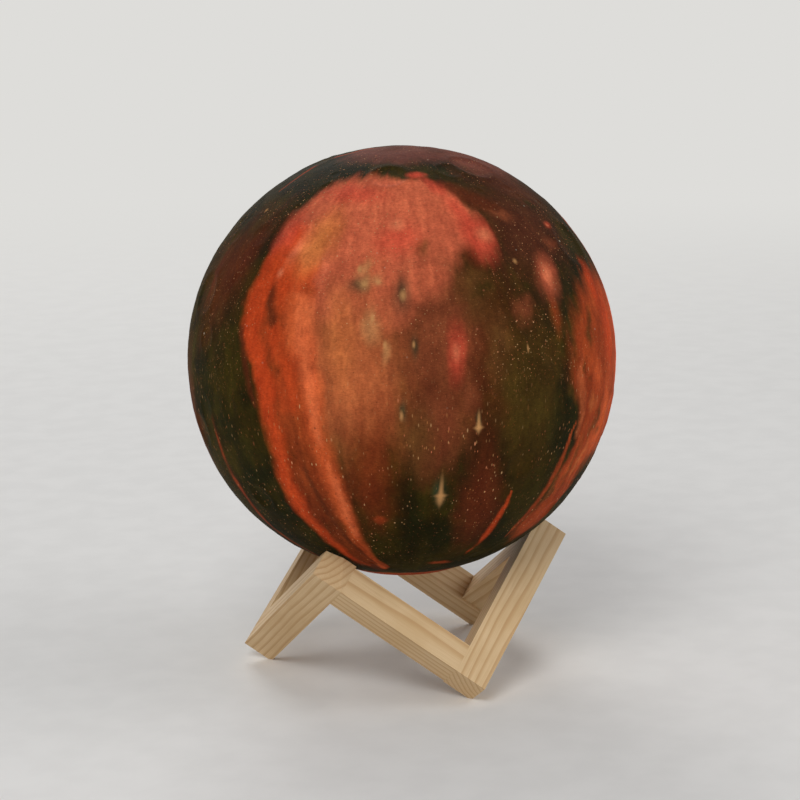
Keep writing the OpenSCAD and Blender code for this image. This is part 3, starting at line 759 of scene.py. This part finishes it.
def painted(dirs):
    """Linear colour of the print at each direction from the globe's centre."""
    field = [Noise(SEED + 10 + k) for k in range(3)]
    flat = np.hypot(dirs[:, 0], dirs[:, 1]) + 0.05
    meridian = np.column_stack([dirs[:, 0] / flat, dirs[:, 1] / flat, 0.22 * dirs[:, 2]])
    coarse = np.column_stack([f.layers(dirs, 2.4, 5, 0.55) for f in field])
    fine = np.column_stack([f.layers(dirs, 9.0, 4, 0.55) for f in field])
    # streaks along the meridians die out towards the poles, where they would meet in a star
    clear = step(flat, 0.08, 0.40)
    tongues = np.column_stack([clear * f.layers(meridian, 6.0, 4, 0.6) for f in field])
    push = PUSH[0] * coarse + PUSH[1] * fine + PUSH[2] * tongues
    streak = clear * field[0].layers(meridian, 17.0, 4, 0.6)
    ground = step(field[1].layers(dirs, 3.4, 5, 0.55), -0.3, 0.4)[:, None]
    colour = np.array(OLIVE[:3]) * (1 - ground) + np.array(DEEP_GREEN[:3]) * ground
    for paint, strength, softness, bending, shapes in PAINT:
        bent = dirs + bending * push
        nearest = np.full(len(dirs), OUTSIDE)
        for shape in shapes:
            off = off_ribbon if isinstance(shape[0], tuple) else off_ellipse
            nearest = np.minimum(nearest, off(bent, *shape))
        nearest += FRAY * min(softness + FRAY_LEAST, 1) * streak
        inside = strength * (1 - step(nearest, 1 - softness, 1))[:, None]
        colour = colour * (1 - inside) + np.array(paint[:3]) * inside
    cloudy = field[2].layers(dirs + 0.05 * coarse, 5.0, 6, 0.6)
    wisps = field[1].ridges(dirs * (1, 1, 0.5) + 0.06 * coarse, 5.0, 5, 0.55)
    strands = field[2].ridges(meridian + 0.03 * fine, 15.0, 4, 0.6)
    vary = (1 + CLOUDY * np.clip(cloudy, -1, 1)) * (1 + STREAKY * np.clip(streak, -1, 1))
    vary *= WISPY[0] + WISPY[1] * wisps
    vary *= 1 + clear * (STRANDY[0] + STRANDY[1] * strands)
    return colour * vary[:, None] ** VARY_POWERS


def speckle(m, vector, mask, under, scale, radius, keep, colour_low, colour_high):
    """Star specks: small round spots in the cells of a Voronoi pattern, some left out."""
    cells = m.node("ShaderNodeTexVoronoi")
    m.join(vector, cells.inputs["Vector"])
    cells.inputs["Scale"].default_value = scale
    cells.inputs["Randomness"].default_value = 1.0
    tint = m.node("ShaderNodeSeparateColor")
    m.join(cells.outputs["Color"], tint.inputs[0])
    dot = m.smooth(cells.outputs["Distance"], radius, radius * 0.35)
    kept = m.maths("LESS_THAN", tint.outputs[0], keep)
    level = m.maths("MULTIPLY", m.maths("MULTIPLY", dot, kept), mask)
    level = m.maths("MULTIPLY", level, m.smooth(tint.outputs[1], 0.0, 1.0, 0.35, 1.0))
    paint = m.mix(tint.outputs[2], colour_low, colour_high)
    return m.mix(level, under, paint)


def star(m, ray, under, lon, lat, half_w, half_h):
    """One larger star, as a soft ellipse drawn out north and south."""
    out = Vector(direction(lon, lat))
    east = Vector((math.cos(math.radians(lon)), math.sin(math.radians(lon)), 0))
    north = out.cross(east)
    place = m.node("ShaderNodeMapping", vector_type="TEXTURE")
    m.join(ray, place.inputs["Vector"])
    place.inputs["Location"].default_value = out
    turn = Matrix((east, north, out)).transposed()
    place.inputs["Rotation"].default_value = turn.to_euler()
    size = (math.radians(half_w), math.radians(half_h), ELLIPSE_DEPTH)
    place.inputs["Scale"].default_value = size
    level = m.smooth(m.vector("LENGTH", place.outputs["Vector"]), 1.0, 0.0, 0.0, STAR_LEVEL)
    return m.mix(level, under, STAR)


def print_material():
    """The painted clouds with stars and specks over them, lit from inside, with painted shade
    towards the top.
    """
    m = Graph("galaxy_print")
    ray = m.vector("NORMALIZE", m.vector("SUBTRACT", m.place(), tuple(GLOBE_C)))
    parts = m.node("ShaderNodeSeparateXYZ")
    m.join(ray, parts.inputs[0])
    z = parts.outputs[2]
    colour = m.node("ShaderNodeAttribute", attribute_name="print").outputs["Color"]

    # fine unevenness: grain of the ink, and the weave of the printed layers
    weave = m.noise(m.vector("MULTIPLY", ray, (70.0, 70.0, 190.0)), 1.0, 3, 0.6)
    ink_grain = m.noise(m.vector("MULTIPLY", ray, (60.0, 60.0, 24.0)), 1.0, 4, 0.65)
    vary = m.maths("MULTIPLY", m.smooth(weave, 0.25, 0.75, 0.84, 1.16),
                   m.smooth(ink_grain, 0.28, 0.72, 0.88, 1.12))
    colour = m.mix(1.0, colour, m.combine(vary, vary, vary), blend="MULTIPLY")
    for row in STARS:
        colour = star(m, ray, colour, *row)
    dust = m.noise(m.vector("MULTIPLY", ray, (90.0, 90.0, 60.0)), 1.0, 4, 0.8)
    colour = m.mix(m.smooth(dust, 0.60, 0.74, 0.0, 0.5), colour, DUST)
    colour = m.mix(m.smooth(dust, 0.42, 0.28, 0.0, 0.5), colour, DARK_DUST)

    # specks in loose drifts, round above the equator and drawn out below it
    drift = m.smooth(m.noise(ray, 3.2, 3, 0.6), 0.40, 0.62, 0.15, 0.85)
    upper = m.smooth(z, -0.12, 0.22)
    lower = m.maths("SUBTRACT", 1.0, upper)
    long_ray = m.vector("MULTIPLY", ray, (1.0, 1.0, 0.30))
    halves = {"upper": (ray, m.maths("MULTIPLY", upper, drift)),
              "lower": (long_ray, m.maths("MULTIPLY", lower, drift))}
    for half, *row in SPECKS:
        colour = speckle(m, *halves[half], colour, *row)

    # light from inside is strongest round the middle and weaker towards the foot; towards the
    # top it is turned down as well, as painted shade that evens out the light falling from
    # above
    glow = m.maths("MULTIPLY", m.smooth(z, -0.95, -0.1, 0.55, 1.0),
                   m.smooth(z, 0.2, 1.0, 1.0, 0.72))
    # the emission colour carries the painted shade at the top
    lit = m.mix(1.0, colour, m.combine(glow, glow, glow), blend="MULTIPLY")
    ink = m.mix(1.0, colour, (INK_SHARE, INK_SHARE, INK_SHARE, 1), blend="MULTIPLY")
    layers = m.noise(m.vector("MULTIPLY", ray, (16.0, 16.0, 420.0)), 1.0, 2, 0.5)
    grain = m.noise(ray, 150.0, 3, 0.6)
    normal = m.bump(layers, 0.06 * MM, 0.6)
    normal = m.bump(grain, 0.08 * MM, 0.5, normal)
    m.set(Base_Color=ink, Emission_Color=lit, Emission_Strength=GLOW_STRENGTH, Roughness=0.7,
          IOR=1.2, Specular_IOR_Level=0.2, Normal=normal)
    return m.mat


def lining_material():
    """Bare plastic of the rim, neck and inside, which glows warm."""
    m = Graph("shade_lining")
    tone = m.mix(m.smooth(m.noise(m.place(), 260, 3), 0.3, 0.7), srgb(196, 120, 70),
                 srgb(214, 142, 92))
    rings = m.noise(m.vector("MULTIPLY", m.place(), (300.0, 300.0, 5000.0)), 1.0, 2)
    m.set(Base_Color=tone, Emission_Color=tone, Emission_Strength=0.25, Roughness=0.6,
          Normal=m.bump(rings, 0.05 * MM, 0.6))
    return m.mat


# ---------------------------------------------------------------- wooden rails

# angle between a cube's diagonal and its edges, in degrees
CUBE_LEAN = 54.7356
# how the ring stands on the floor: the edges of a cube balanced on a corner
CUBE_TURN = (Matrix.Rotation(math.radians(-30), 3, "Z")
             @ Matrix.Rotation(math.radians(-CUBE_LEAN), 3, "Y")
             @ Matrix.Rotation(math.radians(-45), 3, "Z"))
# how far each rail is turned round the ring from the first of its kind, in degrees
RAIL_TURNS = {"long_rail_right": 0, "long_rail_back": 120, "long_rail_left": 240,
              "short_rail_front": 0, "short_rail_right": 120, "short_rail_back": 240}
PINE_TONES = srgb(222, 192, 148), srgb(212, 180, 134)
LATE_WOOD = srgb(186, 140, 88)
FIBRE = srgb(196, 156, 108)
PORE = srgb(150, 108, 66)
# width of a growth ring in metres, and how many rings the noise makes them waver
RING_STEP = 0.0021
WAVER = 2.6
# rounding of the rails' edges: width, steps, and the angle that counts as an edge
EDGE_W = 0.35 * MM
EDGE_STEPS = 3
EDGE_ANGLE = math.radians(35)
WELD_GAP = 0.02 * MM


def rail_axes(name):
    """Directions along the rail and across it, and its middle, in the frame of the model."""
    low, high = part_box(name)
    about = Matrix.Rotation(math.radians(RAIL_TURNS[name]), 3, "Z") @ CUBE_TURN
    along = about @ Vector((0, 1, 0) if name.startswith("long") else (0, 0, 1))
    across = about @ Vector((1, 0, 0))
    return along, across, along.cross(across), (low + high) / 2


def pine(name, along, across, over, middle, seed):
    """Planed pine: growth rings round a heart outside the bar, fine fibre, end grain."""
    rng = np.random.default_rng(SEED + seed)
    m = Graph(name)
    p = m.vector("SUBTRACT", m.place(), tuple(middle))
    u = m.vector("DOT_PRODUCT", p, tuple(along))
    v = m.vector("DOT_PRODUCT", p, tuple(across))
    w = m.vector("DOT_PRODUCT", p, tuple(over))

    def stretched(lengthwise, crosswise):
        """Place along the rail and across it, each times its own scale."""
        return m.combine(m.maths("MULTIPLY", u, lengthwise), m.maths("MULTIPLY", v, crosswise),
                         m.maths("MULTIPLY", w, crosswise))

    # growth rings: distance from the heart, wavering along the rail
    shift = (seed * 3.7, 0.0, 0.0)
    drift = m.noise(m.vector("ADD", stretched(9.0, 40.0), shift), 1.0, 3, 0.5)
    heart_v = rng.uniform(0.018, 0.030) * rng.choice([-1, 1])
    heart_w = rng.uniform(0.006, 0.020) * rng.choice([-1, 1])
    lean = rng.uniform(-0.03, 0.03)
    dv = m.maths("SUBTRACT", m.maths("MULTIPLY_ADD", u, lean, v), heart_v)
    dw = m.maths("SUBTRACT", w, heart_w)
    radius = m.maths("SQRT", m.maths("ADD", m.maths("MULTIPLY", dv, dv),
                                     m.maths("MULTIPLY", dw, dw)))
    ring = m.maths("MULTIPLY_ADD", radius, 1 / RING_STEP, m.maths("MULTIPLY", drift, WAVER))
    saw = m.maths("FRACT", ring)
    late = m.maths("MULTIPLY", m.smooth(saw, 0.45, 0.90), m.smooth(saw, 1.0, 0.94))

    fibre = m.noise(stretched(45.0, 2600.0), 1.0, 3, 0.65)
    pores = m.noise(stretched(120.0, 5200.0), 1.0, 2, 0.5)
    blotch = m.noise(p, 60.0, 3, 0.5)
    wood = m.mix(m.smooth(blotch, 0.3, 0.7), *PINE_TONES)
    wood = m.mix(m.maths("MULTIPLY", late, 0.62), wood, LATE_WOOD)
    wood = m.mix(m.smooth(fibre, 0.40, 0.72, 0.0, 0.35), wood, FIBRE)
    wood = m.mix(m.smooth(pores, 0.66, 0.80, 0.0, 0.35), wood, PORE)
    normal = m.bump(fibre, 0.10 * MM, 0.5)
    normal = m.bump(late, 0.06 * MM, 0.4, normal)
    m.set(Base_Color=wood, Roughness=m.smooth(fibre, 0.3, 0.7, 0.52, 0.66),
          Specular_IOR_Level=0.35, Normal=normal)
    return m.mat


def soften(part):
    """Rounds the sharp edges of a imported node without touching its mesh."""
    weld = part.modifiers.new("weld", "WELD")
    weld.merge_threshold = WELD_GAP
    bevel = part.modifiers.new("edges", "BEVEL")
    bevel.width = EDGE_W
    bevel.segments = EDGE_STEPS
    bevel.limit_method = "ANGLE"
    bevel.angle_limit = EDGE_ANGLE
    bevel.harden_normals = False


def paint_node(name, mat):
    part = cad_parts[name]
    part.data.materials.clear()
    part.data.materials.append(mat)


def make_rails():
    for i, name in enumerate(RAIL_TURNS):
        paint_node(name, pine("pine_" + name, *rail_axes(name), i))
        soften(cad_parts[name])
    # the dowels are hidden in the joints, so one wood with its grain upright does for all
    paint_node("joint_dowels", pine("dowel_wood", Vector((0, 0, 1)), Vector((1, 0, 0)),
                                    Vector((0, 1, 0)), Vector((0, 0, 0.03)), 9))


# ---------------------------------------------------------------- base and what is in it

# finishes: name, its two tones, size of its grain and height of its bump in metres, roughness,
# other settings, and the nodes it goes on
FINISHES = [
    ("white_plastic", srgb(226, 225, 219), srgb(216, 215, 208), 0.6 * MM, 0.04 * MM, 0.46,
     {"Specular_IOR_Level": 0.4}, ["base_housing", "base_cover"]),
    ("button_plastic", srgb(230, 229, 224), srgb(222, 221, 214), 0.4 * MM, 0.02 * MM, 0.36,
     {"Specular_IOR_Level": 0.45}, ["push_button"]),
    ("frosted_plastic", srgb(238, 226, 204), srgb(230, 214, 188), 0.8 * MM, 0.03 * MM, 0.5,
     {"glow": 0.5}, ["diffuser"]),
    ("clear_plastic", srgb(205, 218, 222), srgb(190, 206, 212), 0.5 * MM, 0.01 * MM, 0.12,
     {"Transmission_Weight": 0.6, "IOR": 1.49}, ["light_pipe"]),
    ("black_plastic", srgb(34, 34, 36), srgb(26, 26, 28), 0.4 * MM, 0.03 * MM, 0.5,
     {"speck": srgb(52, 52, 55)},
     ["switch_plunger", "tact_switch", "control_chip", "infrared_receiver"]),
    ("ivory_plastic", srgb(226, 216, 186), srgb(214, 202, 170), 0.5 * MM, 0.03 * MM, 0.42,
     {}, ["battery_connector"]),
    ("steel", srgb(184, 184, 186), srgb(160, 160, 163), 0.3 * MM, 0.03 * MM, 0.28,
     {"Metallic": 1.0, "stretch": (1.0, 1.0, 7.0), "speck": srgb(206, 206, 208)},
     ["cover_screws", "main_board_screws", "led_board_screws", "charging_socket"]),
    ("battery_foil", srgb(196, 199, 203), srgb(176, 179, 184), 1.6 * MM, 0.12 * MM, 0.3,
     {"Metallic": 1.0}, ["battery"]),
    ("foam", srgb(46, 46, 49), srgb(34, 34, 37), 0.5 * MM, 0.2 * MM, 0.9,
     {"speck": srgb(20, 20, 22)}, ["battery_pad"]),
    ("phosphor", srgb(240, 214, 118), srgb(232, 200, 98), 0.3 * MM, 0.02 * MM, 0.35,
     {"glow": 0.3}, ["leds", "status_led"]),
]
# each circuit board: material, solder mask, copper, and distance between runs in metres
BOARDS = {
    "main_board": ("green_board", srgb(16, 84, 44), srgb(30, 112, 62), 2.4 * MM),
    "led_board": ("white_board", srgb(224, 226, 222), srgb(206, 208, 204), 3.0 * MM),
}
# each bundle of leads: material, and one colour for each lead
LEADS = {
    "battery_leads": ("lead_red", [srgb(40, 40, 42), srgb(168, 30, 26)]),
    "led_leads": ("lead_mixed", [srgb(190, 36, 30), srgb(52, 110, 60), srgb(44, 74, 150),
                                 srgb(226, 222, 212)]),
}


def surface(name, light, dark, cell, bump, roughness, speck=None, stretch=(1.0, 1.0, 1.0),
            glow=0.0, **settings):
    """A finish with two uneven tones, uneven roughness and a fine bump."""
    m = Graph(name)
    p = m.vector("MULTIPLY", m.place(), stretch)
    broad = m.noise(p, 0.22 / cell, 3, 0.5)
    fine = m.noise(p, 1 / cell, 4, 0.6)
    colour = m.mix(m.smooth(broad, 0.3, 0.7), light, dark)
    if speck is not None:
        colour = m.mix(m.smooth(fine, 0.60, 0.70), colour, speck)
    gloss = m.smooth(fine, 0.25, 0.75, roughness - 0.06, roughness + 0.06)
    m.set(Base_Color=colour, Roughness=gloss, Normal=m.bump(fine, bump, 0.5), **settings)
    if glow:
        m.set(Emission_Color=colour, Emission_Strength=glow)
    return m.mat


def board(name, mask, trace, cell):
    """Circuit board: copper runs that show through the solder mask, and a fine gloss."""
    m = Graph(name)
    p = m.place()
    runs = m.node("ShaderNodeTexBrick")
    m.join(m.scaled(p, 1 / cell), runs.inputs["Vector"])
    runs.inputs["Color1"].default_value = mask
    runs.inputs["Color2"].default_value = mask
    runs.inputs["Mortar"].default_value = trace
    runs.inputs["Scale"].default_value = 1.0
    runs.inputs["Mortar Size"].default_value = 0.06
    runs.inputs["Mortar Smooth"].default_value = 0.3
    haze = m.noise(p, 900, 3)
    colour = m.mix(m.smooth(haze, 0.3, 0.7, 0.0, 0.25), runs.outputs["Color"], trace)
    m.set(Base_Color=colour, Roughness=m.smooth(haze, 0.3, 0.7, 0.25, 0.36),
          Normal=m.bump(runs.outputs["Fac"], 0.03 * MM, 0.5))
    return m.mat


def leads(name, colours):
    """Insulated leads, each its own colour."""
    m = Graph(name)
    each = m.node("ShaderNodeNewGeometry").outputs["Random Per Island"]
    ramp = m.node("ShaderNodeValToRGB")
    m.join(each, ramp.inputs[0])
    ramp.color_ramp.interpolation = "CONSTANT"
    bands = ramp.color_ramp.elements
    bands[0].color = colours[0]
    bands[1].position = 1 / len(colours)
    bands[1].color = colours[1]
    for i in range(2, len(colours)):
        bands.new(i / len(colours)).color = colours[i]
    scuff = m.noise(m.place(), 1600, 3)
    colour = m.mix(m.smooth(scuff, 0.45, 0.75, 0.0, 0.2), ramp.outputs["Color"],
                   srgb(200, 196, 190))
    m.set(Base_Color=colour, Roughness=0.42, Normal=m.bump(scuff, 0.02 * MM, 0.5))
    return m.mat


def make_base():
    for *row, settings, names in FINISHES:
        finish = surface(*row, **settings)
        for name in names:
            paint_node(name, finish)
    for name, row in BOARDS.items():
        paint_node(name, board(*row))
    for name, row in LEADS.items():
        paint_node(name, leads(*row))


# ---------------------------------------------------------------- build

make_camera()
make_floor()
make_lights()
make_world()
make_shade()
make_rails()
make_base()
